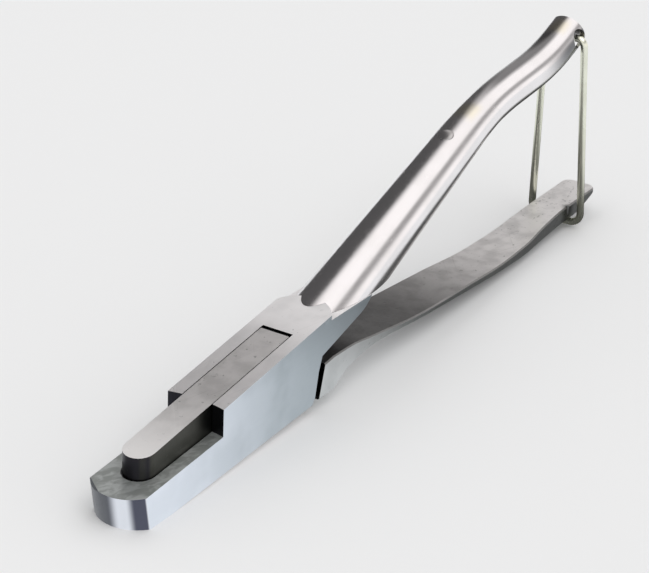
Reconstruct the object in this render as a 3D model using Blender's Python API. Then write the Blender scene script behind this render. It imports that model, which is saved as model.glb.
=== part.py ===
"""Livestock ear notcher, modelled for Blender 4.5.

The tool lies along +X with its nose at the origin and +Z up. Its near side is -Y.
All driving dimensions are in millimetres, and the meshes are written in metres.
"""

from math import asin, atan2, cos, hypot, pi, radians, sin, sqrt, tan

import bmesh
import bpy
from mathutils import Vector

MM = 0.001

# Height of the drawing's datum line above the flat sole. All heights below start at the datum.
DATUM_RISE = 1.1

# Head block
BODY_HALF_WIDTH = 10.0
NOSE_X = -5.4
NOSE_CORNER_X = -0.4
NOSE_RAKE = 10.0
SOLE_END_X = 12.0
REAR_FOOT_Z = 2.85
DIE_HEIGHT = 9.9
DIE_SLOPE = 0.082
SHOULDER_X = 37.1
SHOULDER_HOLLOW = 1.1
TOP_HEIGHT = 16.72
TOP_SLOPE = 0.14
FACET_FAR_X = -0.1
FACET_NEAR_X = -4.9
FACET_NEAR_Y = 3.4
FACET_TILT = 45.0

# Rear of the head and the tang
REAR_FOOT_X = 85.2
REAR_FOOT_BEVEL = 2.0
REAR_FOOT_RUN = 1.4
REAR_NECK_X = 88.2
REAR_NECK_Z = 13.1
TANG_ROOT_X = 89.9
TANG_ROOT_Z = 17.9
TANG_RISE = 16.0
TANG_TOE_X = 111.0
TANG_TOE_RADIUS = 15.0
TABLE_CORNER_X = 94.4
TABLE_END_X = 100.2
LEDGE_DROP = 2.448

# Slot through the head
SLOT_FRONT_X = 4.3
SLOT_REAR_X = 79.8
SLOT_REAR_LEAN = 13.0
TUNNEL_ROOF_Z = 19.8
TUNNEL_REAR_ROOF_Z = 17.4

# Pivot
PIVOT_X = 62.0
PIVOT_Z = 12.0
PIN_RADIUS = 2.5
PIN_BLIND_WALL = 1.0
BOSS_RADIUS = 7.0
BOSS_ARC = (225, 300)

# Punch
PUNCH_HALF_WIDTH = 5.15
PUNCH_TIP_GAP = 0.6
PUNCH_DEPTH = 2.8
PUNCH_REAR_GAP = 1.5
PUNCH_REAR_FOOT_Z = 19.2
PUNCH_REAR_SWEEP = (4.0, 2.6)

# Heel and flat lower handle: distance from the nose, top, underside and half width
HEEL_TOP = (91.9, 14.4)
HEEL_FOOT = (88.9, 3.1)
WEB_LIFT = 1.0
STRAP_STATIONS = (
    (97.0, 15.0, 3.1, BODY_HALF_WIDTH),
    (107.0, 14.8, 7.9, BODY_HALF_WIDTH),
    (120.0, 13.0, 9.4, BODY_HALF_WIDTH),
    (150.0, 9.2, 7.1, BODY_HALF_WIDTH),
    (180.0, 7.2, 4.8, 9.5),
    (210.0, 5.3, 2.4, 8.5),
    (225.0, 5.6, 1.8, 7.9),
    (240.0, 7.2, 2.2, 6.9),
    (255.0, 8.3, 2.7, 6.35),
    (263.0, 8.4, 2.9, 6.35),
    (279.5, 8.7, 7.2, 6.35),
)
STRAP_EDGE = 0.45
STRAP_TIP_RADIUS = 3.0

# Upper handle: distance from the nose, axis height, half width and half height
HANDLE_STATIONS = (
    (92.0, 17.3, 10.78, 11.66),
    (110.0, 24.74, 10.11, 10.94),
    (130.0, 33.0, 9.37, 10.14),
    (150.0, 41.27, 8.63, 9.33),
    (170.0, 49.5, 7.89, 8.53),
    (185.0, 55.7, 7.33, 7.85),
    (195.0, 59.4, 6.85, 7.2),
    (205.0, 62.2, 6.55, 6.7),
    (215.0, 63.8, 6.5, 6.55),
    (225.0, 64.8, 6.5, 6.55),
    (235.0, 65.9, 6.5, 6.6),
    (245.0, 67.9, 6.5, 6.75),
    (254.0, 71.0, 6.5, 6.9),
    (266.0, 76.2, 6.5, 7.05),
)
HANDLE_END_X = 259.3
HANDLE_END_TILT = 25.0
HANDLE_WALL = 1.5
HANDLE_HOLLOW_X = 116.0
CHANNEL_START_X = 118.0
CHANNEL_HALF_WIDTH = 4.6
EYE_RADIUS = 2.1
EYE_OFFSET = 0.4
EYE_LEAN = 30.0

# Leaf spring and its rivet
RIVET_X = 176.5
RIVET_HEAD_RADIUS = 2.5
RIVET_HEAD_HEIGHT = 1.0
RIVET_SHANK_RADIUS = 1.5
SPRING_HALF_WIDTH = 3.4
SPRING_THICKNESS = 1.2
SPRING_DROP = 2.6
SPRING_TAIL = 3.4
SPRING_FREE_X = 104.0
SPRING_ARRIVAL = 32.0
SPRING_CURL = 1.6
SPRING_CURL_TURN = 100.0

# Wire bail
WIRE_RADIUS = 1.1
BAIL_HINGE_X = 257.2
BAIL_HINGE_Z = 71.8
BAIL_BAR_X = 261.3
BAIL_BAR_Z = 1.1
BAIL_TOP_HALF_WIDTH = 8.2
BAIL_BAR_HALF_WIDTH = 10.0
BAIL_TOP_BEND = 2.8
BAIL_BEND_RADIUS = 4.2
BAIL_END_INSET = 4.0

# Clearance between touching pieces, and how far a cutter runs past what it cuts
GAP = 0.3
PAST = 6.0

ROUND_STEPS = 12
STRAP_STEPS = 44
TIP_STEPS = 5
SECTION_STEP = 4.0
RING_SIDES = 36
WIRE_SIDES = 12


def top_z(x):
    """Height of the head's flat top."""
    return TOP_HEIGHT + TOP_SLOPE * x


def ledge_z():
    """Height of the ledge behind the flat top, on which the handle sits."""
    return top_z(TABLE_END_X) - LEDGE_DROP


def die_z(x):
    """Height of the die surface that the ear lies on."""
    return DIE_HEIGHT + DIE_SLOPE * x


def arc(centre, radius, start, end, steps=ROUND_STEPS):
    """Points on an arc, its angles in degrees and counted from the first axis."""
    points = []
    for step in range(steps + 1):
        angle = radians(start + (end - start) * step / steps)
        points.append((centre[0] + radius * cos(angle), centre[1] + radius * sin(angle)))
    return points


def arc_through_sagitta(tip, corner_along, half_chord, steps=ROUND_STEPS):
    """Arc that bulges to tip on the centre line and ends at the two corners."""
    sagitta = corner_along - tip
    radius = (half_chord ** 2 + sagitta ** 2) / (2 * sagitta)
    half_angle = atan2(half_chord, radius - sagitta) * 180 / pi
    return arc((tip + radius, 0.0), radius, 180 - half_angle, 180 + half_angle, steps)


def smooth(stations, column, x):
    """Monotone cubic through one column of a table of stations."""
    along = [row[0] for row in stations]
    values = [row[column] for row in stations]
    last = len(along) - 1
    slopes = [(values[i + 1] - values[i]) / (along[i + 1] - along[i]) for i in range(last)]
    tangents = [slopes[0]]
    for left, right in zip(slopes, slopes[1:]):
        same_way = left * right > 0
        tangents.append(2 * left * right / (left + right) if same_way else 0.0)
    tangents.append(slopes[-1])
    piece = 0
    while piece < last - 1 and x > along[piece + 1]:
        piece += 1
    span = along[piece + 1] - along[piece]
    t = (x - along[piece]) / span
    return ((2 * t ** 3 - 3 * t ** 2 + 1) * values[piece]
            + (t ** 3 - 2 * t ** 2 + t) * span * tangents[piece]
            + (3 * t ** 2 - 2 * t ** 3) * values[piece + 1]
            + (t ** 3 - t ** 2) * span * tangents[piece + 1])


def strap_top(x):
    """Height of the lower handle's top face."""
    return smooth(STRAP_STATIONS, 1, x)


def handle_axis(x):
    """Height of the upper handle's axis."""
    return smooth(HANDLE_STATIONS, 1, x)


def handle_top(x):
    """Height of the upper handle's top line."""
    return handle_axis(x) + smooth(HANDLE_STATIONS, 3, x)


def add_object(name, points, faces, origin=(0.0, 0.0, 0.0)):
    """Closed mesh object from points in millimetres, with its origin at the place given."""
    mesh = bpy.data.meshes.new(name)
    start = Vector(origin)
    mesh.from_pydata([(Vector(point) - start) * MM for point in points], [], faces)
    work = bmesh.new()
    work.from_mesh(mesh)
    bmesh.ops.recalc_face_normals(work, faces=work.faces)
    work.to_mesh(mesh)
    work.free()
    item = bpy.data.objects.new(name, mesh)
    item.location = (start + Vector((0.0, 0.0, DATUM_RISE))) * MM
    bpy.context.scene.collection.objects.link(item)
    return item


def loft(name, rings, origin=(0.0, 0.0, 0.0)):
    """Solid through rings of as many points each, closed by a cap at both ends."""
    sides = len(rings[0])
    points = [point for ring in rings for point in ring]
    faces = [tuple(range(sides)), tuple(range(len(points) - sides, len(points)))]
    for ring in range(len(rings) - 1):
        for side in range(sides):
            low = ring * sides + side
            low_next = ring * sides + (side + 1) % sides
            faces.append((low, low_next, low_next + sides, low + sides))
    return add_object(name, points, faces, origin)


def side_prism(name, profile, half_width, origin=(0.0, 0.0, 0.0)):
    """Profile seen from the side, extruded to both sides of the centre plane."""
    rings = [[(x, y, z) for x, z in profile] for y in (-half_width, half_width)]
    return loft(name, rings, origin)


def plan_prism(name, outline, low, high):
    """Outline seen from above, between two heights that are functions of x."""
    rings = [[(x, y, height(x)) for x, y in outline] for height in (low, high)]
    return loft(name, rings)


def cross_cylinder(name, x, z, radius, y_start, y_end, origin=(0.0, 0.0, 0.0)):
    """Cylinder across the tool, from one side position to the other."""
    circle = arc((x, z), radius, 0, 360, RING_SIDES)[:-1]
    rings = [[(px, y, pz) for px, pz in circle] for y in (y_start, y_end)]
    return loft(name, rings, origin)


def turned(name, profile, foot, direction):
    """Solid turned about a line in the centre plane, from radii and heights along it."""
    up = Vector((direction[0], 0.0, direction[1])).normalized()
    across = Vector((up.z, 0.0, -up.x))
    rings = []
    for radius, height in profile:
        ring = []
        for x, y in arc((0.0, 0.0), radius, 0, 360, RING_SIDES)[:-1]:
            ring.append(Vector(foot) + across * x + Vector((0.0, y, 0.0)) + up * height)
        rings.append(ring)
    return loft(name, rings)


def combine(target, other, operation):
    """Boolean with another solid, which is then only a guide."""
    modifier = target.modifiers.new(other.name, "BOOLEAN")
    modifier.operation = operation
    modifier.solver = "EXACT"
    modifier.object = other
    other.hide_render = True
    other.display_type = "WIRE"


def finish(item, colour, roughness, metallic=1.0):
    """Own Principled material, and smooth shading over the rounded stretches."""
    material = bpy.data.materials.new(item.name)
    material.use_nodes = True
    shader = material.node_tree.nodes["Principled BSDF"]
    shader.inputs["Base Color"].default_value = (*colour, 1.0)
    shader.inputs["Roughness"].default_value = roughness
    shader.inputs["Metallic"].default_value = metallic
    item.data.materials.append(material)
    item.data.shade_smooth()
    item.data.set_sharp_from_angle(angle=radians(30))


def slot_outline(front_x, half_width, rear_x):
    """Plan outline of a slot or a tongue with a full round front end."""
    centre = (front_x + half_width, 0.0)
    return arc(centre, half_width, 90, 270) + [(rear_x, -half_width), (rear_x, half_width)]


def table_end(extra=0.0):
    """Plan arc where the head's flat top ends, from past the near side to past the far side."""
    sagitta = TABLE_END_X - TABLE_CORNER_X
    radius = (BODY_HALF_WIDTH ** 2 + sagitta ** 2) / (2 * sagitta)
    return arc((TABLE_END_X - radius, 0.0), radius + extra, -90, 90, 2 * ROUND_STEPS)


def nose_facet():
    """Wedge that grinds a flat facet on the far front edge of the nose."""
    far = Vector((FACET_FAR_X, BODY_HALF_WIDTH, 0.0))
    near = Vector((FACET_NEAR_X, FACET_NEAR_Y, 0.0))
    along = (far - near).normalized()
    outward = Vector((-along.y, along.x, 0.0))
    fall = tan(radians(FACET_TILT))
    rings = []
    for point in (near - along * PAST, far + along * PAST):
        edge = Vector((point.x, point.y, die_z(point.x)))
        rings.append([tuple(edge - outward * PAST + Vector((0.0, 0.0, PAST * fall))),
                      tuple(edge + outward * PAST - Vector((0.0, 0.0, PAST * fall))),
                      tuple(edge + outward * PAST + Vector((0.0, 0.0, 2 * PAST * fall)))])
    return loft("nose_facet", rings)


def build_die_body():
    """Head block: nose plate with the die slot, two cheeks, and the tang behind them."""
    rise = radians(TANG_RISE)
    toe_z = TANG_ROOT_Z + tan(rise) * (TANG_TOE_X - TANG_ROOT_X)
    toe_centre = (TANG_TOE_X - TANG_TOE_RADIUS * sin(rise), toe_z + TANG_TOE_RADIUS * cos(rise))
    toe_end = asin((ledge_z() + GAP - toe_centre[1]) / TANG_TOE_RADIUS) * 180 / pi
    toe = arc(toe_centre, TANG_TOE_RADIUS, TANG_RISE - 90, toe_end)
    rear_x = toe[-1][0]
    profile = [
        (NOSE_X - PAST, -DATUM_RISE),
        (SOLE_END_X, -DATUM_RISE),
        (REAR_FOOT_X, REAR_FOOT_Z),
        (REAR_FOOT_X + REAR_FOOT_RUN, REAR_FOOT_Z + REAR_FOOT_BEVEL),
        (REAR_NECK_X, REAR_NECK_Z),
        (TANG_ROOT_X, TANG_ROOT_Z),
        *toe,
        (rear_x, top_z(rear_x)),
        (NOSE_X - PAST, top_z(NOSE_X - PAST)),
    ]
    body = side_prism("die_body", profile, BODY_HALF_WIDTH + PAST)

    nose = arc_through_sagitta(NOSE_X, NOSE_CORNER_X, BODY_HALF_WIDTH)
    rear = [(rear_x + PAST, -BODY_HALF_WIDTH), (rear_x + PAST, BODY_HALF_WIDTH)]
    rake = tan(radians(NOSE_RAKE))
    rings = [[(x + rake * (DIE_HEIGHT - z), y, z) for x, y in nose + rear]
             for z in (-PAST, top_z(rear_x) + PAST)]
    combine(body, loft("head_outline", rings), "INTERSECT")
    combine(body, nose_facet(), "DIFFERENCE")

    side = 2 * BODY_HALF_WIDTH
    ledge = table_end() + [(rear_x + PAST, side), (rear_x + PAST, -side)]
    above = plan_prism("root_ledge", ledge, lambda x: ledge_z(), lambda x: top_z(x) + PAST)
    combine(body, above, "DIFFERENCE")

    hollow_radius = (BODY_HALF_WIDTH ** 2 + SHOULDER_HOLLOW ** 2) / (2 * SHOULDER_HOLLOW)
    half_angle = atan2(BODY_HALF_WIDTH + PAST, hollow_radius) * 180 / pi
    centre = (SHOULDER_X + SHOULDER_HOLLOW - hollow_radius, 0.0)
    hollow = arc(centre, hollow_radius, -half_angle, half_angle)
    outline = [(NOSE_X - PAST, side), (NOSE_X - PAST, -side)] + hollow
    combine(body, plan_prism("die_step", outline, die_z, lambda x: top_z(x) + PAST), "DIFFERENCE")

    lean = tan(radians(SLOT_REAR_LEAN))
    slot_roof = SLOT_REAR_X + lean * (top_z(SLOT_REAR_X) - TUNNEL_ROOF_Z)
    tunnel_end = TANG_ROOT_X + PAST
    slot = slot_outline(SLOT_FRONT_X, PUNCH_HALF_WIDTH + GAP, tunnel_end + PAST)
    side_cut = [
        (SLOT_FRONT_X - PAST, -PAST),
        (tunnel_end, -PAST),
        (tunnel_end, TUNNEL_REAR_ROOF_Z),
        (slot_roof, TUNNEL_ROOF_Z),
        (SLOT_REAR_X - lean * PAST, top_z(SLOT_REAR_X) + PAST),
        (SLOT_FRONT_X - PAST, top_z(SLOT_REAR_X) + PAST),
    ]
    cut = side_prism("slot_side", side_cut, BODY_HALF_WIDTH + PAST)
    plan = plan_prism("slot_plan", slot, lambda x: -2 * PAST, lambda x: top_z(x) + 3 * PAST)
    combine(cut, plan, "INTERSECT")
    combine(body, cut, "DIFFERENCE")

    bore = cross_cylinder("pin_bore", PIVOT_X, PIVOT_Z, PIN_RADIUS + GAP,
                          PIN_BLIND_WALL - BODY_HALF_WIDTH, BODY_HALF_WIDTH + PAST)
    combine(body, bore, "DIFFERENCE")
    finish(body, (0.60, 0.60, 0.61), 0.32)
    return body


def build_punch_lever():
    """Punch, pivot boss, heel and flat lower handle in one forging."""
    tip_x = SLOT_FRONT_X + PUNCH_TIP_GAP
    rear_x = SLOT_REAR_X - PUNCH_REAR_GAP
    origin = (PIVOT_X, 0.0, PIVOT_Z)
    boss = arc((PIVOT_X, PIVOT_Z), BOSS_RADIUS, *BOSS_ARC)
    profile = [
        (tip_x - PAST, die_z(tip_x - PAST) - PUNCH_DEPTH),
        (boss[0][0] - PAST, die_z(boss[0][0] - PAST) - PUNCH_DEPTH),
        *boss,
        (HEEL_FOOT[0] - PAST, HEEL_FOOT[1] + WEB_LIFT),
        (HEEL_FOOT[0] + PAST, HEEL_FOOT[1] + WEB_LIFT),
        (HEEL_TOP[0] + PAST, HEEL_TOP[1]),
        (HEEL_TOP[0], HEEL_TOP[1]),
        *[(rear_x + PUNCH_REAR_SWEEP[0] * (1 - cos(radians(angle))),
           PUNCH_REAR_FOOT_Z - PUNCH_REAR_SWEEP[1] * sin(radians(angle)))
          for angle in (60, 30, 0)],
        (rear_x, top_z(rear_x)),
        (tip_x - PAST, top_z(tip_x - PAST)),
    ]
    lever = side_prism("punch_lever", profile, PUNCH_HALF_WIDTH + PAST, origin)
    tongue = slot_outline(tip_x, PUNCH_HALF_WIDTH, HEEL_TOP[0] + 2 * PAST)
    plan = plan_prism("punch_plan", tongue, lambda x: -PAST, lambda x: top_z(x) + PAST)
    combine(lever, plan, "INTERSECT")

    combine(lever, build_strap(), "UNION")
    bore = cross_cylinder("lever_bore", PIVOT_X, PIVOT_Z, PIN_RADIUS + GAP,
                          -PUNCH_HALF_WIDTH - PAST, PUNCH_HALF_WIDTH + PAST)
    combine(lever, bore, "DIFFERENCE")
    finish(lever, (0.42, 0.41, 0.40), 0.30)
    return lever


def strap_section(top_x, top, foot_x, foot, half_width):
    """Flat section with a chamfer on its four long edges."""
    edge = STRAP_EDGE
    lean = (top_x - foot_x) / (top - foot)
    inner = half_width - edge
    return [
        (foot_x, -inner, foot),
        (foot_x, inner, foot),
        (foot_x + lean * edge, half_width, foot + edge),
        (top_x - lean * edge, half_width, top - edge),
        (top_x, inner, top),
        (top_x, -inner, top),
        (top_x - lean * edge, -half_width, top - edge),
        (foot_x + lean * edge, -half_width, foot + edge),
    ]


def build_strap():
    """Heel and flat lower handle, as a loft of sections along the tool."""
    rings = [strap_section(*HEEL_TOP, *HEEL_FOOT, BODY_HALF_WIDTH)]
    start = STRAP_STATIONS[0][0]
    end = STRAP_STATIONS[-1][0]
    turn = end - STRAP_TIP_RADIUS
    places = [start + (turn - start) * step / STRAP_STEPS for step in range(STRAP_STEPS)]
    places += [turn + STRAP_TIP_RADIUS * sin(radians(90 * step / TIP_STEPS))
               for step in range(TIP_STEPS + 1)]
    for x in places:
        half_width = smooth(STRAP_STATIONS, 3, x)
        if x > turn:
            half_width -= STRAP_TIP_RADIUS - sqrt(max(STRAP_TIP_RADIUS ** 2 - (x - turn) ** 2, 0.0))
        foot = smooth(STRAP_STATIONS, 2, x)
        rings.append(strap_section(x, strap_top(x), x, foot, half_width))
    return loft("strap", rings)


def handle_ring(x, inset=0.0):
    """Section of the upper handle at one distance from the nose."""
    centre = handle_axis(x)
    half_width = smooth(HANDLE_STATIONS, 2, x) - inset
    half_height = smooth(HANDLE_STATIONS, 3, x) - inset
    circle = arc((0.0, 0.0), 1.0, 0, 360, RING_SIDES)[:-1]
    return [(x, half_width * y, centre + half_height * z) for y, z in circle]


def handle_places(start, end):
    """Distances of the handle's sections, closer together in the S-bend."""
    places = [start]
    while places[-1] < end:
        step = SECTION_STEP * (2 if places[-1] < RIVET_X else 1)
        places.append(min(places[-1] + step, end))
    return places


def build_upper_handle():
    """Tube handle on the head's rear ledge, hollow and open along its inner underside."""
    start = HANDLE_STATIONS[0][0]
    end = HANDLE_STATIONS[-1][0]
    handle = loft("upper_handle", [handle_ring(x) for x in handle_places(start, end)])

    tilt = radians(HANDLE_END_TILT)
    end_z = handle_axis(HANDLE_END_X)
    beyond = [(HANDLE_END_X + PAST * (along * cos(tilt) - across * sin(tilt)),
               end_z + PAST * (along * sin(tilt) + across * cos(tilt)))
              for along, across in ((0, -3), (4, -3), (4, 3), (0, 3))]
    combine(handle, side_prism("end_plane", beyond, 2 * BODY_HALF_WIDTH), "DIFFERENCE")

    seat_z = ledge_z() + GAP
    seat = [(start - PAST, -PAST), (end, -PAST), (end, seat_z), (start - PAST, seat_z)]
    combine(handle, side_prism("ledge_seat", seat, 2 * BODY_HALF_WIDTH), "DIFFERENCE")
    head = table_end(GAP) + [(start - PAST, 2 * BODY_HALF_WIDTH), (start - PAST, -2 * BODY_HALF_WIDTH)]
    combine(handle, plan_prism("table_seat", head, lambda x: 0.0, lambda x: top_z(x) + GAP),
            "DIFFERENCE")

    hollow = [handle_ring(x, HANDLE_WALL) for x in handle_places(HANDLE_HOLLOW_X, end)]
    past_end = [(x + PAST, y, z + PAST / 2) for x, y, z in hollow[-1]]
    combine(handle, loft("handle_hollow", hollow + [past_end]), "DIFFERENCE")

    rings = []
    for x in handle_places(CHANNEL_START_X, end) + [end + PAST]:
        axis = handle_axis(min(x, end))
        side = CHANNEL_HALF_WIDTH
        foot = axis - 4 * PAST
        rings.append([(x, -side, foot), (x, side, foot), (x, side, axis), (x, -side, axis)])
    combine(handle, loft("handle_channel", rings), "DIFFERENCE")

    reach = BAIL_TOP_HALF_WIDTH + PAST
    lean = radians(EYE_LEAN)
    eye_x = BAIL_HINGE_X - EYE_OFFSET * sin(lean)
    eye_z = BAIL_HINGE_Z + EYE_OFFSET * cos(lean)
    combine(handle, cross_cylinder("bail_eye", eye_x, eye_z, EYE_RADIUS, -reach, reach), "DIFFERENCE")

    foot, up = rivet_line()
    bore = [(RIVET_SHANK_RADIUS + GAP, -PAST), (RIVET_SHANK_RADIUS + GAP, -RIVET_HEAD_HEIGHT - GAP),
            (RIVET_HEAD_RADIUS + GAP, -RIVET_HEAD_HEIGHT - GAP), (RIVET_HEAD_RADIUS + GAP, PAST)]
    combine(handle, turned("rivet_bore", bore, foot, up), "DIFFERENCE")
    finish(handle, (0.66, 0.65, 0.65), 0.16)
    return handle


def rivet_line():
    """Foot of the rivet on the handle's top line, and the direction square to it."""
    step = 1.0
    rise = handle_top(RIVET_X + step) - handle_top(RIVET_X - step)
    length = hypot(2 * step, rise)
    return (RIVET_X, 0.0, handle_top(RIVET_X)), (-rise / length, 2 * step / length)


def spring_line():
    """Centre line of the leaf spring, from its tail at the rivet to its turned-up free end."""
    (x, _, z), (up_x, up_z) = rivet_line()
    along = Vector((-up_z, up_x))
    middle = Vector((x, z)) - Vector((up_x, up_z)) * (HANDLE_WALL + SPRING_DROP)
    tail = middle - along * SPRING_TAIL
    seat = middle + along * SPRING_TAIL
    drop = radians(SPRING_ARRIVAL)
    way = Vector((-cos(drop), -sin(drop)))
    curl_z = strap_top(SPRING_FREE_X) + GAP + SPRING_THICKNESS / 2 + SPRING_CURL
    curl = Vector((SPRING_FREE_X, curl_z))
    touch = curl + Vector((sin(drop), -cos(drop))) * SPRING_CURL
    run = touch - seat
    reach = (run.x * way.y - run.y * way.x) / (along.x * way.y - along.y * way.x)
    knee = seat + along * reach
    points = [tail, middle, seat]
    for step in range(1, ROUND_STEPS + 1):
        t = step / ROUND_STEPS
        points.append(seat * (1 - t) ** 2 + knee * 2 * t * (1 - t) + touch * t ** 2)
    start = SPRING_ARRIVAL - 90
    points += [Vector(p) for p in arc(curl, SPRING_CURL, start, start - SPRING_CURL_TURN, 6)[1:]]
    return points, middle


def build_leaf_spring():
    """Leaf spring under the handle's roof, with its free end turned up on the lever."""
    points, middle = spring_line()
    width = SPRING_HALF_WIDTH
    rings = []
    for index, point in enumerate(points):
        before = points[max(index - 1, 0)]
        after = points[min(index + 1, len(points) - 1)]
        way = (after - before).normalized()
        side = Vector((-way.y, way.x)) * SPRING_THICKNESS / 2
        over = point - side
        under = point + side
        rings.append([(over.x, -width, over.y), (over.x, width, over.y),
                      (under.x, width, under.y), (under.x, -width, under.y)])
    spring = loft("leaf_spring", rings, (middle.x, 0.0, middle.y))
    foot, up = rivet_line()
    radius = RIVET_SHANK_RADIUS + GAP
    hole = turned("spring_hole", [(radius, -2 * PAST), (radius, PAST)], foot, up)
    combine(spring, hole, "DIFFERENCE")
    finish(spring, (0.20, 0.20, 0.22), 0.35)
    return spring


def build_spring_rivet():
    """Rivet with a flush head above and an upset head below the spring."""
    foot, up = rivet_line()
    under = -HANDLE_WALL - SPRING_DROP - SPRING_THICKNESS / 2 - GAP
    profile = [
        (RIVET_HEAD_RADIUS, under - RIVET_HEAD_HEIGHT),
        (RIVET_HEAD_RADIUS, under),
        (RIVET_SHANK_RADIUS, under),
        (RIVET_SHANK_RADIUS, -RIVET_HEAD_HEIGHT),
        (RIVET_HEAD_RADIUS, -RIVET_HEAD_HEIGHT),
        (RIVET_HEAD_RADIUS, 0.0),
    ]
    rivet = turned("spring_rivet", profile, foot, up)
    finish(rivet, (0.55, 0.55, 0.56), 0.25)
    return rivet


def build_pivot_pin():
    """Cross pin of the box joint, ground flush with the far cheek."""
    pin = cross_cylinder("pivot_pin", PIVOT_X, PIVOT_Z, PIN_RADIUS,
                         PIN_BLIND_WALL + GAP - BODY_HALF_WIDTH, BODY_HALF_WIDTH,
                         (PIVOT_X, 0.0, PIVOT_Z))
    finish(pin, (0.50, 0.50, 0.52), 0.30)
    return pin


def bail_path():
    """Centre line of the wire, from one turned-in end round the crossbar to the other."""
    hinge = Vector((BAIL_HINGE_X, 0.0, BAIL_HINGE_Z))
    bar = Vector((BAIL_BAR_X, 0.0, BAIL_BAR_Z))
    length = (bar - hinge).length
    down = (bar - hinge) / length
    bend = BAIL_BEND_RADIUS
    spread = atan2(BAIL_BAR_HALF_WIDTH - BAIL_TOP_HALF_WIDTH, length)
    half = []
    half.append((BAIL_END_INSET, 0.0))
    turn = arc((BAIL_TOP_HALF_WIDTH - BAIL_TOP_BEND, BAIL_TOP_BEND), BAIL_TOP_BEND, -90,
               spread * 180 / pi, 8)
    half += [(y, depth) for y, depth in turn]
    low = (BAIL_BAR_HALF_WIDTH - bend, length - bend)
    half += arc(low, bend, -spread * 180 / pi, 90, 8)
    path = [hinge + down * depth + Vector((0.0, -y, 0.0)) for y, depth in half]
    path += [Vector((point.x, -point.y, point.z)) for point in reversed(path)]
    return path


def build_lock_bail():
    """Wire bail: two legs, a crossbar under the lower handle and two turned-in ends."""
    path = bail_path()
    rings = []
    for index, point in enumerate(path):
        before = path[max(index - 1, 0)]
        after = path[min(index + 1, len(path) - 1)]
        way = (after - before).normalized()
        across = Vector((1.0, 0.0, 0.0))
        across = (across - way * across.dot(way)).normalized()
        lift = way.cross(across)
        ring = []
        for a, b in arc((0.0, 0.0), WIRE_RADIUS, 0, 360, WIRE_SIDES)[:-1]:
            ring.append(point + across * a + lift * b)
        rings.append(ring)
    bail = loft("lock_bail", rings, (BAIL_HINGE_X, 0.0, BAIL_HINGE_Z))
    finish(bail, (0.55, 0.55, 0.48), 0.30)
    return bail


def main():
    """Clear the scene and build every piece of the tool."""
    for item in list(bpy.data.objects):
        bpy.data.objects.remove(item, do_unlink=True)
    build_die_body()
    build_punch_lever()
    build_upper_handle()
    build_pivot_pin()
    build_leaf_spring()
    build_spring_rivet()
    build_lock_bail()


main()
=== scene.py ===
import logging
from dataclasses import dataclass
from enum import Enum
from math import atan2, cos, hypot, pi, radians, sin
from typing import Any, Iterator

import bmesh
import bpy
from mathutils import Matrix, Vector


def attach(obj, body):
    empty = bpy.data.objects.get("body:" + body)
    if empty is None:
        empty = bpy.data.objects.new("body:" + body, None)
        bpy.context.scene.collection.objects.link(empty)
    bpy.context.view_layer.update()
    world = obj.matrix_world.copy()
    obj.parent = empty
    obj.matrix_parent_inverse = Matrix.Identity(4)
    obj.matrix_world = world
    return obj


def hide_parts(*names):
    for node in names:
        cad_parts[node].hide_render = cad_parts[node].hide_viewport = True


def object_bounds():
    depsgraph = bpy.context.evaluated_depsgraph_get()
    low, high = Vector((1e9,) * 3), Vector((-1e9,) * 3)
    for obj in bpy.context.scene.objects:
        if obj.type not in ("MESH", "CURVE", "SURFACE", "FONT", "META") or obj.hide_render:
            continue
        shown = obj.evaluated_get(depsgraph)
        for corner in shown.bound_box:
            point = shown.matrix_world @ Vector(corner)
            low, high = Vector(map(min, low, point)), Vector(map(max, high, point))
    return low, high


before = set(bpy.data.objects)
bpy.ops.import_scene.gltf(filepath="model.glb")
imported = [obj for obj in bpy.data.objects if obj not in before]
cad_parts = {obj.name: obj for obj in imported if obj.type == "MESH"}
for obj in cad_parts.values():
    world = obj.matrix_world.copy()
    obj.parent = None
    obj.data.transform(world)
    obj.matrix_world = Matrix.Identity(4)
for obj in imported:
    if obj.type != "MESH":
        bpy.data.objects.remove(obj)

log = logging.getLogger("ear_notcher")
MM = 0.001
IMAGE_WIDTH = 649
CAD_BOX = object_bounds()

Pair = tuple[float, float]
Range = tuple[float, float]
Triple = tuple[float, float, float]
Colour = tuple[float, float, float]


class Grain(Enum):
    """Direction in which a surface was ground, as the scale of its noise along X, Y and Z."""

    ALONG = (60.0, 1500.0, 1500.0)
    UPRIGHT = (1500.0, 1500.0, 60.0)
    NONE = (700.0, 700.0, 700.0)


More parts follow.
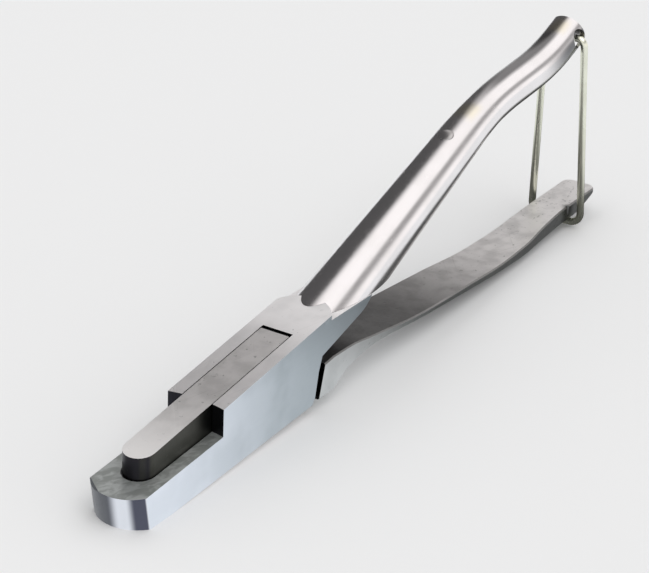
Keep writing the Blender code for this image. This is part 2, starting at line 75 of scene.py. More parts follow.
class Signal:
    """A number or colour flowing through a material, with Python's arithmetic on numbers."""

    def __init__(self, graph: "Graph", socket: bpy.types.NodeSocket) -> None:
        """Keep the graph that adds further nodes and the output that carries the value."""
        self.graph = graph
        self.socket = socket

    def _math(self, operation: str, *values: Any) -> "Signal":
        """Add one Math node on signals or numbers, in the order of its sockets."""
        return self.graph.node("ShaderNodeMath", {"operation": operation}, dict(enumerate(values)))

    def __add__(self, other: Any) -> "Signal":
        """Sum with a signal or a number."""
        return self._math("ADD", self, other)

    def __radd__(self, other: Any) -> "Signal":
        """Sum with a number on the left."""
        return self._math("ADD", other, self)

    def __sub__(self, other: Any) -> "Signal":
        """Difference with a signal or a number."""
        return self._math("SUBTRACT", self, other)

    def __rsub__(self, other: Any) -> "Signal":
        """Difference from a number on the left."""
        return self._math("SUBTRACT", other, self)

    def __mul__(self, other: Any) -> "Signal":
        """Product with a signal or a number."""
        return self._math("MULTIPLY", self, other)

    def __rmul__(self, other: Any) -> "Signal":
        """Product with a number on the left."""
        return self._math("MULTIPLY", other, self)

    def __truediv__(self, other: Any) -> "Signal":
        """Quotient by a signal or a number."""
        return self._math("DIVIDE", self, other)

    def __rtruediv__(self, other: Any) -> "Signal":
        """Quotient of a number by the signal."""
        return self._math("DIVIDE", other, self)

    def __neg__(self) -> "Signal":
        """The negative of a signal."""
        return self._math("MULTIPLY", self, -1.0)

    def least(self, other: Any) -> "Signal":
        """Smaller of two values."""
        return self._math("MINIMUM", self, other)

    def most(self, other: Any) -> "Signal":
        """Larger of two values."""
        return self._math("MAXIMUM", self, other)

    def size(self) -> "Signal":
        """Absolute value."""
        return self._math("ABSOLUTE", self)

    def step(self, low: float, high: float) -> "Signal":
        """Smooth step from 0 at low to 1 at high."""
        settings = {"interpolation_type": "SMOOTHSTEP"}
        return self.graph.node("ShaderNodeMapRange", settings, {0: self, 1: low, 2: high, 3: 0.0, 4: 1.0})


class Graph:
    """Node graph of one material or of the world."""

    scratch_along = 0.02
    scratch_high = 0.3
    scratch_edge = 0.05

    def __init__(self, tree: bpy.types.NodeTree) -> None:
        """Keep the node tree to fill, and empty it."""
        self.tree = tree
        tree.nodes.clear()

    def node(self, kind: str, settings: dict[str, Any] | None = None,
             inputs: dict[Any, Any] | None = None, output: Any = 0) -> Signal:
        """Add a node.

        Args:
            kind: the node's type.
            settings: its properties.
            inputs: values or signals by the socket's name or number.
            output: name or number of the output that is wanted.

        Returns:
            That output.
        """
        made = self.tree.nodes.new(kind)
        for name, value in (settings or {}).items():
            setattr(made, name, value)
        for name, value in (inputs or {}).items():
            if isinstance(value, Signal):
                self.tree.links.new(value.socket, made.inputs[name])
            else:
                made.inputs[name].default_value = value
        return Signal(self, made.outputs[output]) if made.outputs else Signal(self, None)

    def blend(self, factor: Any, first: Any, second: Any) -> Signal:
        """Mix two colours or signals by the share of the second."""
        inputs = {0: factor, 6: self._colour(first), 7: self._colour(second)}
        return self.node("ShaderNodeMix", {"data_type": "RGBA"}, inputs, 2)

    @staticmethod
    def _colour(value: Any) -> Any:
        """Give a plain colour its alpha, and pass a signal through."""
        return value if isinstance(value, Signal) else (*value, 1.0)

    def place(self) -> Signal:
        """Position on the object, in metres."""
        return self.node("ShaderNodeTexCoord", output="Object")

    def facing(self) -> Signal:
        """Direction in which the surface faces, in the object's own axes."""
        return self.node("ShaderNodeTexCoord", output="Normal")

    def parts(self, vector: Signal) -> tuple[Signal, Signal, Signal]:
        """Three numbers of a vector.

        Args:
            vector: the vector signal.

        Returns:
            Its X, Y and Z.
        """
        split = self.node("ShaderNodeSeparateXYZ", inputs={0: vector})
        outputs = split.socket.node.outputs
        return tuple(Signal(self, outputs[axis]) for axis in range(3))

    def noise(self, scale: Triple, detail: float = 4.0, turn: float = 0.0,
              distortion: float = 0.0) -> Signal:
        """Noise over the object.

        Args:
            scale: cells per metre along X, Y and Z.
            detail: octaves of finer noise.
            turn: angle in degrees by which the pattern is turned about Z.
            distortion: how much the pattern swirls.

        Returns:
            A number around 0.5.
        """
        turned = self.node("ShaderNodeMapping", {"vector_type": "POINT"},
                           {0: self.place(), "Rotation": (0.0, 0.0, radians(turn))})
        scaled = self.node("ShaderNodeMapping", {"vector_type": "POINT"}, {0: turned, "Scale": scale})
        inputs = {"Vector": scaled, "Scale": 1.0, "Detail": detail, "Distortion": distortion}
        return self.node("ShaderNodeTexNoise", {"noise_dimensions": "3D"}, inputs)

    def scratches(self, turn: float, fineness: float, share: float) -> Signal:
        """Scratches by their degrees from X, number per metre and share left free: 1 in a scratch."""
        cells = (fineness * self.scratch_along, fineness, fineness * self.scratch_high)
        return self.noise(cells, 2.0, turn).step(share, share + self.scratch_edge)


@dataclass(frozen=True)
class Finish:
    """Bare steel: a colour with cloudy blotches, a ground grain, scratches and small pits.

    A Range says where a smooth step begins and ends. A scratch set is a direction in degrees,
    the scratches per metre and the noise value above which a scratch shows.
    """

    name: str
    colour: Colour
    dark: Colour
    roughness: float
    grain: Grain
    grain_depth: float = 0.3
    cloud_cells: float = 90.0
    cloud_share: float = 0.4
    scratch_share: float = 0.4
    pits: float = 0.0
    relief: float = 0.00004
    cloud_range: Range = (0.38, 0.68)
    scratch_sets: tuple[Triple, ...] = ((24.0, 900.0, 0.66), (-38.0, 700.0, 0.67))
    scratch_tint: float = 0.4
    pit_cells: float = 620.0
    pit_range: Range = (0.70, 0.76)
    pit_depth: float = 2.0
    grain_rough: float = 0.16
    cloud_rough: float = 0.05
    scratch_rough: float = 0.05
    bump: float = 0.5

    def tint(self, graph: Graph, colour: Signal) -> Signal:
        """Change the colour from place to place; plain steel keeps it."""
        return colour

    def metal(self, graph: Graph) -> Any:
        """How metallic the surface is, from 0 to 1; bare steel is fully metallic."""
        return 1.0

    def material(self) -> bpy.types.Material:
        """Build the material.

        Returns:
            The new material.
        """
        made = bpy.data.materials.new(self.name)
        made.use_nodes = True
        graph = Graph(made.node_tree)
        cloud = graph.noise((self.cloud_cells,) * 3, 3.0).step(*self.cloud_range)
        grain = graph.noise(self.grain.value, 3.0)
        first, second = (graph.scratches(*scratch_set) for scratch_set in self.scratch_sets)
        marks = (first + second).least(1.0)
        pits = graph.noise((self.pit_cells,) * 3, 1.0).step(*self.pit_range) * self.pits
        stains = cloud * self.cloud_share + marks * self.scratch_share * self.scratch_tint
        worn = (stains + pits).least(1.0)
        colour = self.tint(graph, graph.blend(worn, self.colour, self.dark))
        rough = self.roughness + (grain - 0.5) * self.grain_rough
        rough = rough + cloud * self.cloud_rough + marks * self.scratch_rough
        height = grain * self.grain_depth - marks * self.scratch_share - pits * self.pit_depth
        bump = graph.node("ShaderNodeBump", None, {
            "Strength": self.bump, "Distance": self.relief, "Height": height})
        shader = graph.node("ShaderNodeBsdfPrincipled", None, {
            "Base Color": colour, "Roughness": rough, "Metallic": self.metal(graph), "Normal": bump})
        graph.node("ShaderNodeOutputMaterial", None, {"Surface": shader})
        return made


@dataclass(frozen=True)
class HeadFinish(Finish):
    """Head block: plated flanks with painted shade towards the rear, a dark ground die face, painted
    reflections on the nose, a painted highlight on its far facet, and painted shade on the inner steps, the
    rear faces and in the slot.

    The shares named dull are how far a face is from fully metallic.
    """

    # Flank colours at the nose and at the rear; the darker rear is painted shade.
    flank_lit_front: Colour = (0.84, 0.89, 0.96)
    flank_shaded_rear: Colour = (0.40, 0.45, 0.48)
    die_face: Colour = (0.44, 0.465, 0.45)
    die_streak: Colour = (0.72, 0.75, 0.74)
    # Painted shade for the inner steps, the rear faces and the slot's walls.
    recess_painted_shade: Colour = (0.030, 0.030, 0.036)
    # Painted reflections on the nose: dark shade, darker far side and bright highlights.
    nose_painted_dark: Colour = (0.10, 0.105, 0.14)
    nose_painted_far: Colour = (0.13, 0.137, 0.15)
    nose_painted_highlight: Colour = (0.82, 0.85, 0.90)
    # Painted highlight on the ground facet at the nose's far corner.
    corner: Colour = (0.66, 0.68, 0.69)
    slot_side: Range = (0.0058, 0.0062)
    slot_front: Range = (0.0030, 0.0036)
    flank_turn: Range = (0.6, 0.85)
    flank_run: Range = (0.0, 0.090)
    haze_cells: float = 70.0
    haze_range: Range = (0.35, 0.65)
    haze_share: float = 0.16
    streak_cells: Triple = (220.0, 420.0, 300.0)
    streak_turn: float = 28.0
    streak_swirl: float = 0.6
    streak_range: Range = (0.40, 0.64)
    streak_share: float = 0.8
    die_height: Range = (0.0165, 0.0172)
    die_turn: Range = (0.3, 0.6)
    nose_turn: Range = (0.35, 0.55)
    nose_reach: Range = (0.004, 0.006)
    band_near: Range = (-0.0074, -0.0052)
    band_far: Range = (-0.0030, 0.0006)
    rim: Range = (-0.0100, -0.0096)
    nose_run: Range = (-0.004, 0.002)
    step_turn: Range = (0.4, 0.7)
    step_front: Range = (0.030, 0.031)
    step_rear: Range = (0.060, 0.070)
    rear_turn: Range = (0.5, 0.8)
    rear_front: Range = (0.080, 0.084)
    corner_turns: tuple[Range, Range, Range] = ((0.3, 0.45), (0.2, 0.35), (0.5, 0.6))
    corner_reach: Range = (0.002, 0.004)
    top_turn: Range = (0.8, 0.95)
    top_run: Range = (0.060, 0.095)
    dull_die: float = 0.25
    dull_top: float = 0.14
    dull_more: float = 0.36
    dull_corner: float = 0.7

    def _corner(self, graph: Graph) -> Signal:
        """Find the facet that is ground on the nose's far corner.

        Args:
            graph: the material's graph.

        Returns:
            1 on the facet and 0 elsewhere.
        """
        x = graph.parts(graph.place())[0]
        ahead, beside, above = graph.parts(graph.facing())
        front, side, top = self.corner_turns
        facet = (-ahead).step(*front) * beside.step(*side) * above.step(*top)
        return facet * (1.0 - x.step(*self.corner_reach))

    def _painted_nose(self, graph: Graph, y: Signal) -> Signal:
        """Painted reflections on the round nose: a dark shade with a painted highlight band and a painted
        highlight rim.

        Args:
            graph: the material's graph.
            y: side position.

        Returns:
            The colour.
        """
        # Painted highlight band and rim over painted dark shade.
        band = y.step(*self.band_near) * (1.0 - y.step(*self.band_far))
        bright = (band + (1.0 - y.step(*self.rim))).least(1.0)
        shade = graph.blend(y.step(*self.nose_run), self.nose_painted_dark, self.nose_painted_far)
        return graph.blend(bright, shade, self.nose_painted_highlight)

    def tint(self, graph: Graph, colour: Signal) -> Signal:
        """Give each face of the head its own tone, with painted shade and painted reflections where the
        flanks, the nose and the hollows are.

        Args:
            graph: the material's graph.
            colour: the colour of the flat top.

        Returns:
            The colour over the whole head.
        """
        x, y, z = graph.parts(graph.place())
        ahead, beside, above = graph.parts(graph.facing())
        inside = (1.0 - y.size().step(*self.slot_side)) * x.step(*self.slot_front)
        flank = beside.size().step(*self.flank_turn) * (1.0 - inside)
        haze = graph.noise((self.haze_cells,) * 3, 2.0).step(*self.haze_range) * self.haze_share
        # Painted shade: the flanks darken from the nose towards the rear, with random haze on top.
        shade_and_haze = (x.step(*self.flank_run) + haze).least(1.0)
        colour = graph.blend(flank, colour, graph.blend(shade_and_haze, self.flank_lit_front, self.flank_shaded_rear))
        streaks = graph.noise(self.streak_cells, 4.0, self.streak_turn, self.streak_swirl)
        streaks = streaks.step(*self.streak_range)
        low = above.step(*self.die_turn) * (1.0 - z.step(*self.die_height))
        ground = graph.blend(streaks * self.streak_share, self.die_face, self.die_streak)
        colour = graph.blend(low, colour, ground)
        # Painted highlight on the nose's far facet.
        colour = graph.blend(self._corner(graph), colour, self.corner)
        # Painted reflections on the round nose.
        nose = (-ahead).step(*self.nose_turn) * (1.0 - x.step(*self.nose_reach))
        colour = graph.blend(nose, colour, self._painted_nose(graph, y))
        # Painted shade on the inner steps, the rear faces and the slot's walls.
        steps = (-ahead).step(*self.step_turn) * x.step(*self.step_front) * (1.0 - x.step(*self.step_rear))
        rear = ahead.step(*self.rear_turn) * x.step(*self.rear_front)
        shaded_faces = (steps + rear + inside * (1.0 - above.step(*self.rear_turn))).least(1.0)
        return graph.blend(shaded_faces, colour, self.recess_painted_shade)

    def metal(self, graph: Graph) -> Signal:
        """The flat top, the die face and the nose's corner are duller than the rest.

        Args:
            graph: the material's graph.

        Returns:
            A signal from 0 to 1.
        """
        place = graph.parts(graph.place())
        above = graph.parts(graph.facing())[2]
        low = 1.0 - place[2].step(*self.die_height)
        top = self.dull_top + place[0].step(*self.top_run) * self.dull_more
        dull = low * self.dull_die + (1.0 - low) * top
        return 1.0 - (above.step(*self.top_turn) * dull).most(self._corner(graph) * self.dull_corner)


@dataclass(frozen=True)
class LeverFinish(Finish):
    """Punch and lower handle: satin on top, with painted shade on the punch's sides and front, on the strap's
    sides and edges, near the root and under the head's rear, a painted highlight towards the punch's tip, and
    dark hammer dents and a wire scuff at the strap's end.

    The shares named dull are how far a face is from fully metallic.
    """

    # Painted shade on the punch's sides and front.
    punch_side_painted_shade: Colour = (0.062, 0.062, 0.054)
    punch_nose_painted_shade: Colour = (0.030, 0.029, 0.034)
    # Painted highlight towards the punch's tip.
    tip_painted_highlight: Colour = (0.92, 0.90, 0.89)
    # Dark colour used both as painted shade near the root and for the hammer dents and the wire's scuff.
    root: Colour = (0.040, 0.040, 0.038)
    # Painted shade for the strap's steep sides.
    edge: Colour = (0.42, 0.45, 0.45)
    # Painted shade along the strap's near top edge.
    arris_painted_shade: Colour = (0.24, 0.24, 0.235)
    # Painted shade for the strap's front faces under the head's rear.
    gap_painted_shade: Colour = (0.012, 0.012, 0.012)
    punch_end: Range = (0.083, 0.086)
    tip_run: Range = (0.006, 0.040)
    steep_turn: Range = (0.45, 0.8)
    gleam_turn: Range = (0.35, 0.75)
    gleam_place: float = -0.0036
    gleam_width: Range = (0.0003, 0.0012)
    gleam_share: float = 0.5
    front_turn: Range = (0.2, 0.5)
    root_run: Range = (0.135, 0.225)
    root_turn: Range = (0.4, 0.8)
    root_share: float = 0.95
    edge_share: float = 0.7
    scuff_place: Pair = (0.2575, -0.0075)
    scuff_squeeze: float = 0.5
    scuff_width: Range = (0.0014, 0.0042)
    scuff_share: float = 0.85
    dent_cells: Triple = (300.0, 420.0, 300.0)
    dent_turn: float = 20.0
    dent_swirl: float = 1.4
    dent_range: Range = (0.60, 0.70)
    dent_run: Range = (0.222, 0.240)
    dent_share: float = 0.35
    arris_turn: Range = (0.3, 0.5)
    arris_run: Range = (0.150, 0.175)
    heel_turn: Range = (0.3, 0.6)
    heel_run: Range = (0.096, 0.100)
    top_turn: Range = (0.7, 0.9)
    dull_top: float = 0.13
    dull_tip: float = 0.45
    dull_tip_run: Range = (0.004, 0.048)
    dull_end: float = 0.2
    dull_end_run: Range = (0.200, 0.250)

    def _wear(self, graph: Graph, x: Signal, y: Signal) -> Signal:
        """Find the hammer dents and the scuff that the wire has left at the strap's end.

        Args:
            graph: the material's graph.
            x: distance from the nose.
            y: side position.

        Returns:
            How strongly the surface is marked.
        """
        scuff_x, scuff_y = self.scuff_place
        near = (y - scuff_y).size() + (x - scuff_x).size() * self.scuff_squeeze
        dents = graph.noise(self.dent_cells, 3.0, self.dent_turn, self.dent_swirl).step(*self.dent_range)
        hammered = x.step(*self.dent_run) * dents * self.dent_share
        return hammered + (1.0 - near.step(*self.scuff_width)) * self.scuff_share

    def tint(self, graph: Graph, colour: Signal) -> Signal:
        """Paint shade onto the punch, the root and the edges of the strap, a highlight onto the punch's tip,
        and the wear onto the strap.

        Args:
            graph: the material's graph.
            colour: the colour of the satin top.

        Returns:
            The colour over the whole lever.
        """
        x, y = graph.parts(graph.place())[:2]
        ahead, beside, above = graph.parts(graph.facing())
        punch = 1.0 - x.step(*self.punch_end)
        # Painted highlight: the punch's top lightens towards its tip.
        pale = graph.blend(1.0 - x.step(*self.tip_run), colour, self.tip_painted_highlight)
        colour = graph.blend(punch, colour, pale)
        steep = 1.0 - above.step(*self.steep_turn)
        # Painted glint: a lighter line down the punch's front.
        gleam = 1.0 - (y - self.gleam_place).size().step(*self.gleam_width)
        gleam = (-ahead).step(*self.gleam_turn) * gleam * self.gleam_share
        front = (-ahead).step(*self.front_turn) * (1.0 - gleam)
        # Painted shade on the punch's steep sides and front.
        wall = graph.blend(front, self.punch_side_painted_shade, self.punch_nose_painted_shade)
        colour = graph.blend(punch * steep, colour, wall)
        strap = 1.0 - punch
        # Painted shade on the strap's top near the root, under the tube.
        root = strap * (1.0 - x.step(*self.root_run)) * above.step(*self.root_turn)
        colour = graph.blend(root * self.root_share, colour, self.root)
        # Painted shade on the strap's steep sides.
        colour = graph.blend(strap * steep * self.edge_share, colour, self.edge)
        colour = graph.blend((self._wear(graph, x, y) * strap).least(1.0), colour, self.root)
        # Painted shade along the strap's near top edge.
        arris_painted_shade = (-beside).step(*self.arris_turn) * above.step(*self.arris_turn)
        colour = graph.blend(strap * arris_painted_shade * x.step(*self.arris_run), colour, self.arris_painted_shade)
        # Painted shade on the strap's front faces under the head's rear.
        heel_shade = strap * (-ahead).step(*self.heel_turn) * (1.0 - x.step(*self.heel_run))
        return graph.blend(heel_shade, colour, self.gap_painted_shade)

    def metal(self, graph: Graph) -> Signal:
        """The punch's tip and the strap's end are duller than the rest.

        Args:
            graph: the material's graph.

        Returns:
            A signal from 0 to 1.
        """
        x = graph.parts(graph.place())[0]
        above = graph.parts(graph.facing())[2]
        dull = self.dull_top + (1.0 - x.step(*self.dull_tip_run)) * self.dull_tip
        dull = dull + x.step(*self.dull_end_run) * self.dull_end
        return 1.0 - above.step(*self.top_turn) * dull


@dataclass(frozen=True)
class TubeFinish(Finish):
    """Polished tube with painted shade on the bend's crest and low on its end, and yellow heat tint."""

    tinted: Colour = (0.86, 0.78, 0.52)
    # Painted shade for the bend's crest.
    shade: Colour = (0.31, 0.305, 0.305)
    # Painted shade low on the tube's end and along its underside.
    below: Colour = (0.10, 0.104, 0.11)
    bend_start: Range = (0.196, 0.212)
    bend_end: Range = (0.244, 0.256)
    bend_turn: Range = (-0.40, -0.12)
    end_run: Range = (0.230, 0.250)
    end_turn: Range = (0.80, 0.94)
    edge_run: Range = (0.200, 0.215)
    edge_turn: Range = (0.20, 0.60)
    shade_share: float = 0.9
    crest_turn: Range = (0.72, 0.92)
    spots: tuple[tuple[float, Range], ...] = ((0.190, (0.001, 0.006)), (0.252, (0.001, 0.005)))
    spot_share: float = 0.45

    def tint(self, graph: Graph, colour: Signal) -> Signal:
        """Add the painted shade bands and the heat tint.

        Args:
            graph: the material's graph.
            colour: the polished steel's colour.

        Returns:
            The colour with both.
        """
        x = graph.parts(graph.place())[0]
        beside, above = graph.parts(graph.facing())[1:]
        # Painted shade on the bend's crest.
        bend = x.step(*self.bend_start) * (1.0 - x.step(*self.bend_end))
        painted_crown_shade = bend * beside.step(*self.bend_turn)
        colour = graph.blend(painted_crown_shade * self.shade_share, colour, self.shade)
        # Painted shade low on the tube near its end and along its underside.
        end = x.step(*self.end_run) * (-beside).step(*self.end_turn)
        edge = x.step(*self.edge_run) * (-above).step(*self.edge_turn)
        colour = graph.blend(end.most(edge) * self.shade_share, colour, self.below)
        first, second = (1.0 - (x - place).size().step(*width) for place, width in self.spots)
        spots = above.step(*self.crest_turn) * (first + second).least(1.0)
        return graph.blend(spots * self.spot_share, colour, self.tinted)


HEAD_STEEL = HeadFinish("ground_head", (0.97, 0.95, 0.95), (0.72, 0.71, 0.71), 0.36, Grain.ALONG,
                        cloud_share=0.5, pits=0.9)
PIN_STEEL = Finish("ground_pin", (0.86, 0.90, 0.95), (0.60, 0.62, 0.66), 0.32, Grain.ALONG)
LEVER_STEEL = LeverFinish("forged_lever", (0.86, 0.84, 0.83), (0.50, 0.49, 0.48), 0.34, Grain.NONE,
                          grain_depth=0.5, cloud_cells=140.0, cloud_share=0.5, pits=0.8)
TUBE_STEEL = TubeFinish("polished_tube", (0.86, 0.84, 0.84), (0.74, 0.72, 0.71), 0.17, Grain.ALONG,
                        grain_depth=0.08, cloud_share=0.3, scratch_share=0.08, relief=0.00002)
RIVET_STEEL = Finish("polished_rivet", (0.80, 0.78, 0.77), (0.62, 0.60, 0.58), 0.18, Grain.NONE,
                     grain_depth=0.1)
WIRE_ZINC = Finish("drawn_wire", (0.83, 0.84, 0.71), (0.60, 0.61, 0.49), 0.26, Grain.UPRIGHT,
                   grain_depth=0.3)
# Painted shade: the hollow, the channel and the holes' walls are near black.
BORE_PAINTED_SHADE = Finish("tube_bore_painted_shade", (0.035, 0.035, 0.035), (0.015, 0.015, 0.015), 0.5, Grain.ALONG)
SPRING_STEEL = Finish("blued_spring", (0.16, 0.16, 0.19), (0.09, 0.09, 0.11), 0.35, Grain.ALONG)


class Shop:
    """Mesh work shared by the pieces, with lengths in millimetres above the drawing's datum."""

    datum = 1.1
    weld = 0.000002
    flat_angle = 0.6
    crease_angle = 32.0
    bevel_steps = 2
    flat_weight = 100

    @staticmethod
    def add(name: str, data: Any) -> bpy.types.Object:
        """Put a new object into the scene.

        Args:
            name: its name.
            data: its mesh, camera or light.

        Returns:
            The new object.
        """
        item = bpy.data.objects.new(name, data)
        bpy.context.scene.collection.objects.link(item)
        return item

    @classmethod
    def smooth(cls, item: bpy.types.Object, times: int = 1) -> None:
        """Shade a solid smooth but for edges over so many times the crease angle."""
        item.data.shade_smooth()
        item.data.set_sharp_from_angle(angle=radians(times * cls.crease_angle))

    @classmethod
    def solid(cls, name: str, rings: list[list[Triple]]) -> bpy.types.Object:
        """Closed solid through rings of as many points each.

        Args:
            name: the object's name.
            rings: the rings, in order.

        Returns:
            The new object.
        """
        sides = len(rings[0])
        points = [(x * MM, y * MM, (z + cls.datum) * MM) for ring in rings for x, y, z in ring]
        last = len(points) - sides
        faces = [tuple(range(sides)), tuple(range(last, last + sides))]
        for low in range(0, last, sides):
            for side in range(sides):
                beside = low + (side + 1) % sides
                faces.append((low + side, beside, beside + sides, low + side + sides))
        mesh = bpy.data.meshes.new(name)
        mesh.from_pydata(points, [], faces)
        work = bmesh.new()
        work.from_mesh(mesh)
        bmesh.ops.recalc_face_normals(work, faces=work.faces)
        work.to_mesh(mesh)
        work.free()
        return cls.add(name, mesh)

    @classmethod
    def across(cls, name: str, outline: list[Pair], reach: float) -> bpy.types.Object:
        """Solid from its outline seen from the side, reaching so far to both sides."""
        return cls.solid(name, [[(x, y, z) for x, z in outline] for y in (-reach, reach)])

    @staticmethod
    def disc(x: float, z: float, radius: float, sides: int = 64) -> list[Pair]:
        """Points of a circle seen from the side, round a distance from the nose and a height."""
        turns = [2.0 * pi * side / sides for side in range(sides)]
        return [(x + radius * cos(turn), z + radius * sin(turn)) for turn in turns]

    @staticmethod
    def cut(item: bpy.types.Object, cutters: list[bpy.types.Object]) -> None:
        """Take the cutters out of a solid, one after another, and throw them away.

        Args:
            item: the solid.
            cutters: the shapes to take out.
        """
        for cutter in cutters:
            modifier = item.modifiers.new(cutter.name, "BOOLEAN")
            modifier.operation = "DIFFERENCE"
            modifier.solver = "EXACT"
            modifier.object = cutter
        Shop.settle(item)
        for cutter in cutters:
            bpy.data.objects.remove(cutter, do_unlink=True)

    @staticmethod
    def settle(item: bpy.types.Object) -> None:
        """Apply an object's modifiers to its mesh.

        Args:
            item: the object.
        """
        shaped = item.evaluated_get(bpy.context.evaluated_depsgraph_get())
        mesh = bpy.data.meshes.new_from_object(shaped)
        item.modifiers.clear()
        item.data = mesh

    @classmethod
    def fit(cls, item: bpy.types.Object, node: str, body: str, *finishes: Finish) -> None:
        """Dress a piece and put it in place of its CAD piece.

        Args:
            item: the piece.
            node: the CAD piece that it stands for, which is hidden.
            body: the body that it rides on.
            finishes: its surfaces, in the order of its faces' material numbers.
        """
        item.data.materials.clear()
        for finish in finishes:
            item.data.materials.append(finish.material())
        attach(item, body)
        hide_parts(node)
        log.info("%s: %d faces in %s", item.name, len(item.data.polygons), finishes[0].name)

    @classmethod
    def eased(cls, node: str, name: str, edge: float,
              nicks: tuple[bpy.types.Object, ...] = ()) -> bpy.types.Object:
        """Copy of a CAD piece with its flat facets joined and its sharp edges eased.

        Args:
            node: the CAD piece.
            name: the copy's name.
            edge: width of the eased edges.
            nicks: shapes to take out of the copy first.

        Returns:
            The copy.
        """
        mesh = bpy.data.meshes.new(name)
        work = bmesh.new()
        work.from_mesh(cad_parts[node].data)
        bmesh.ops.remove_doubles(work, verts=work.verts, dist=cls.weld)
        bmesh.ops.dissolve_limit(work, angle_limit=radians(cls.flat_angle), verts=work.verts,
                                 edges=work.edges)
        work.to_mesh(mesh)
        work.free()
        item = cls.add(name, mesh)
        cls.cut(item, list(nicks))
        item.data.shade_smooth()
        modifier = item.modifiers.new("eased_edges", "BEVEL")
        modifier.width = edge * MM
        modifier.segments = cls.bevel_steps
        modifier.limit_method = "ANGLE"
        modifier.angle_limit = radians(cls.crease_angle)
        flat = item.modifiers.new("flat_faces", "WEIGHTED_NORMAL")
        flat.weight = cls.flat_weight
        cls.settle(item)
        return item


@dataclass
class Head:
    """Head block with its cross pin."""

    block_edge: float = 0.22
    pin_edge: float = 0.15

    def build(self) -> None:
        """Build the head and its pin."""
        Shop.fit(Shop.eased("die_body", "head_block", self.block_edge), "die_body", "body", HEAD_STEEL)
        Shop.fit(Shop.eased("pivot_pin", "cross_pin", self.pin_edge), "pivot_pin", "body", PIN_STEEL)


@dataclass
class Lever:
    """Punch and flat lower handle, lengths in millimetres.

    A nick is a distance from the nose, a side position and a radius, and its cutter has
    two ends, each a height and a share of that radius.
    """

    edge: float = 0.15
    nicks: tuple[Triple, ...] = (
        (257.6, -7.0, 1.6),
        (254.6, -7.3, 1.3),
        (266.5, 6.85, 0.75),
    )
    nick_ends: tuple[Pair, Pair] = ((4.6, 0.45), (14.0, 1.6))
    nick_sides: int = 20

    def build(self) -> None:
        """Build the forging."""
        forging = Shop.eased("punch_lever", "lever_forging", self.edge, tuple(self._nicks()))
        Shop.fit(forging, "punch_lever", "lever", LEVER_STEEL)

    def _nicks(self) -> Iterator[bpy.types.Object]:
        """Make the cutters for the dents that the wire has worn into the strap's edges.

        Yields:
            One tapered cutter after another.
        """
        for x, y, radius in self.nicks:
            rings = []
            for height, share in self.nick_ends:
                disc = Shop.disc(x, y, share * radius, self.nick_sides)
                rings.append([(across, beside, height) for across, beside in disc])
            yield Shop.solid("edge_nick", rings)


